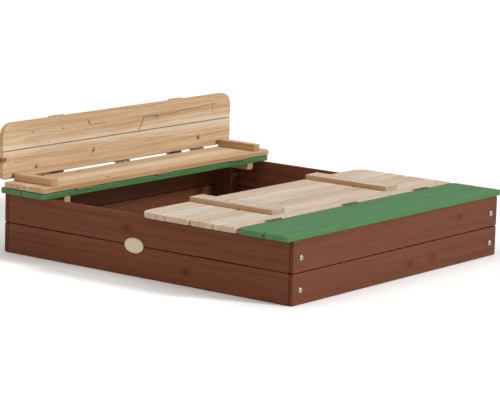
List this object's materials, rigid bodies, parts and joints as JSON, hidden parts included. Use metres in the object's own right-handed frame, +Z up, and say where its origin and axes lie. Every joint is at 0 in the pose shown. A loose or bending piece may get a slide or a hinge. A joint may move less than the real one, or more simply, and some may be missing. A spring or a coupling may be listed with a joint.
{
  "type": "sandbox with cover",
  "caption": "Square wooden sandpit with plank walls and two folding covers, the left one turned over as a bench and the right one closed.",
  "frame": {"origin": "The middle of the footprint at rest, on the ground.", "axes": "+X runs across the hinge lines towards the closed cover, +Y along the hinge lines towards the rear side of the box, +Z up"},
  "size_m": [1.2048, 1.206, 0.4278],
  "materials": {
    "brown_stain": "stained",
    "green_paint": "painted",
    "bare_spruce": "unfinished",
    "bolt_steel": "zinc plated",
    "hinge_steel": "zinc plated"
  },
  "bodies": {
    "box": {"front_plank_lower": "brown_stain", "front_plank_upper": "brown_stain", "rear_plank_lower": "brown_stain", "rear_plank_upper": "brown_stain", "left_end_plank_lower": "brown_stain", "left_end_plank_upper": "brown_stain", "right_end_plank_lower": "brown_stain", "right_end_plank_upper": "brown_stain", "front_left_post": "brown_stain", "front_left_bolt_lower": "bolt_steel", "front_left_bolt_upper": "bolt_steel", "front_right_post": "brown_stain", "front_right_bolt_lower": "bolt_steel", "front_right_bolt_upper": "bolt_steel", "rear_left_post": "brown_stain", "rear_left_bolt_lower": "bolt_steel", "rear_left_bolt_upper": "bolt_steel", "rear_right_post": "brown_stain", "rear_right_bolt_lower": "bolt_steel", "rear_right_bolt_upper": "bolt_steel", "left_seat_board_outer": "green_paint", "left_seat_board_inner": "green_paint", "left_seat_support_front": "bare_spruce", "left_seat_hinge_front_fixed_leaf": "hinge_steel", "left_seat_support_rear": "bare_spruce", "left_seat_hinge_rear_fixed_leaf": "hinge_steel", "right_seat_board_outer": "green_paint", "right_seat_board_inner": "green_paint", "right_seat_support_front": "bare_spruce", "right_seat_hinge_front_fixed_leaf": "hinge_steel", "right_seat_support_rear": "bare_spruce", "right_seat_hinge_rear_fixed_leaf": "hinge_steel"},
    "left_seat_panel": {"left_panel_board_hinged": "bare_spruce", "left_panel_board_folding": "bare_spruce", "left_armrest_front": "bare_spruce", "left_seat_hinge_front_moving_leaf": "hinge_steel", "left_fold_hinge_front_panel_leaf": "hinge_steel", "left_armrest_rear": "bare_spruce", "left_seat_hinge_rear_moving_leaf": "hinge_steel", "left_fold_hinge_rear_panel_leaf": "hinge_steel"},
    "left_backrest": {"left_backrest_board_folding": "bare_spruce", "left_backrest_board_free": "bare_spruce", "left_back_batten_front": "bare_spruce", "left_fold_hinge_front_back_leaf": "hinge_steel", "left_back_batten_rear": "bare_spruce", "left_fold_hinge_rear_back_leaf": "hinge_steel"},
    "right_seat_panel": {"right_panel_board_hinged": "bare_spruce", "right_panel_board_folding": "bare_spruce", "right_armrest_front": "bare_spruce", "right_seat_hinge_front_moving_leaf": "hinge_steel", "right_fold_hinge_front_panel_leaf": "hinge_steel", "right_armrest_rear": "bare_spruce", "right_seat_hinge_rear_moving_leaf": "hinge_steel", "right_fold_hinge_rear_panel_leaf": "hinge_steel"},
    "right_backrest": {"right_backrest_board_folding": "bare_spruce", "right_backrest_board_free": "bare_spruce", "right_back_batten_front": "bare_spruce", "right_fold_hinge_front_back_leaf": "hinge_steel", "right_back_batten_rear": "bare_spruce", "right_fold_hinge_rear_back_leaf": "hinge_steel"}
  },
  "joints": [
    {"name": "left_seat_fold", "type": "hinge", "parent": "box", "child": "left_seat_panel", "pos_m": [-0.3821, 0, 0.2193], "axis": [0, 1, 0], "range_deg": [0, 180]},
    {"name": "left_back_fold", "type": "hinge", "parent": "left_seat_panel", "child": "left_backrest", "pos_m": [-0.5666, 0, 0.2403], "axis": [0, 1, 0], "range_deg": [-90, 0]},
    {"name": "right_seat_fold", "type": "hinge", "parent": "box", "child": "right_seat_panel", "pos_m": [0.3973, 0, 0.2193], "axis": [0, 1, 0], "range_deg": [0, 180]},
    {"name": "right_back_fold", "type": "hinge", "parent": "right_seat_panel", "child": "right_backrest", "pos_m": [0.2128, 0, 0.1983], "axis": [0, 1, 0], "range_deg": [-90, 0]}
  ],
  "couplings": [
    {"joint": "left_back_fold", "follows": "left_seat_fold", "ratio": -0.5},
    {"joint": "right_back_fold", "follows": "right_seat_fold", "ratio": -0.5}
  ]
}
